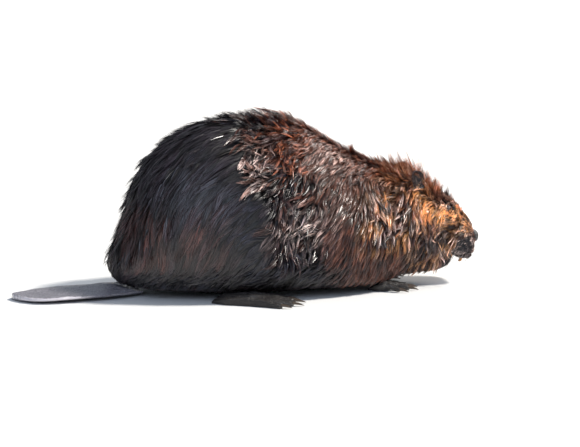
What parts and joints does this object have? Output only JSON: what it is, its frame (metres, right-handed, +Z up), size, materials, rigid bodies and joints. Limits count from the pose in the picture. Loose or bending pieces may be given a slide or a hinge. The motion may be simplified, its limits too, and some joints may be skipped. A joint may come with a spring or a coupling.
{
  "type": "beaver, still life-size model",
  "caption": "Adult North American beaver hunched low on all fours, head down, flat scaly tail laid out behind.",
  "frame": {"origin": "on the floor under the middle of the bounding box", "axes": "+X towards the nose, +Y to the beaver's left, +Z up; the length from tail tip to nose is the longest extent"},
  "size_m": [0.7668, 0.3654, 0.2897],
  "materials": {
    "coat_body": "wet blackish-brown guard hair with a cool sheen",
    "coat_shoulders": "damp reddish-brown guard hair",
    "coat_head": "golden-brown to rufous short fur",
    "tail_scales": "wet blackish-grey scaly skin",
    "foot_skin": "dark leathery skin",
    "ear_skin": "black-brown skin with short hair",
    "nose_skin": "moist black leathery skin",
    "eye": "wet black-brown",
    "claw": "dark brown horn",
    "incisor": "orange enamel"
  },
  "bodies": {
    "root": {"chest": "coat_shoulders", "claw_forefoot_left_1": "claw", "claw_forefoot_left_2": "claw", "claw_forefoot_left_3": "claw", "claw_forefoot_left_4": "claw", "claw_forefoot_left_5": "claw", "claw_forefoot_right_1": "claw", "claw_forefoot_right_2": "claw", "claw_forefoot_right_3": "claw", "claw_forefoot_right_4": "claw", "claw_forefoot_right_5": "claw", "claw_hindfoot_left_1": "claw", "claw_hindfoot_left_2": "claw", "claw_hindfoot_left_3": "claw", "claw_hindfoot_left_4": "claw", "claw_hindfoot_left_5": "claw", "claw_hindfoot_right_1": "claw", "claw_hindfoot_right_2": "claw", "claw_hindfoot_right_3": "claw", "claw_hindfoot_right_4": "claw", "claw_hindfoot_right_5": "claw", "ear_left": "ear_skin", "ear_right": "ear_skin", "eye_left": "eye", "eye_right": "eye", "forefoot_left": "foot_skin", "forefoot_right": "foot_skin", "foreleg_left": "coat_shoulders", "foreleg_right": "coat_shoulders", "head": "coat_head", "hindfoot_left": "foot_skin", "hindfoot_right": "foot_skin", "hindleg_left": "coat_body", "hindleg_right": "coat_body", "incisors": "incisor", "jaw": "coat_head", "neck": "coat_shoulders", "nose": "nose_skin", "rump": "coat_body", "tail_paddle": "tail_scales", "tail_root": "coat_body", "trunk": "coat_body"}
  },
  "joints": []
}
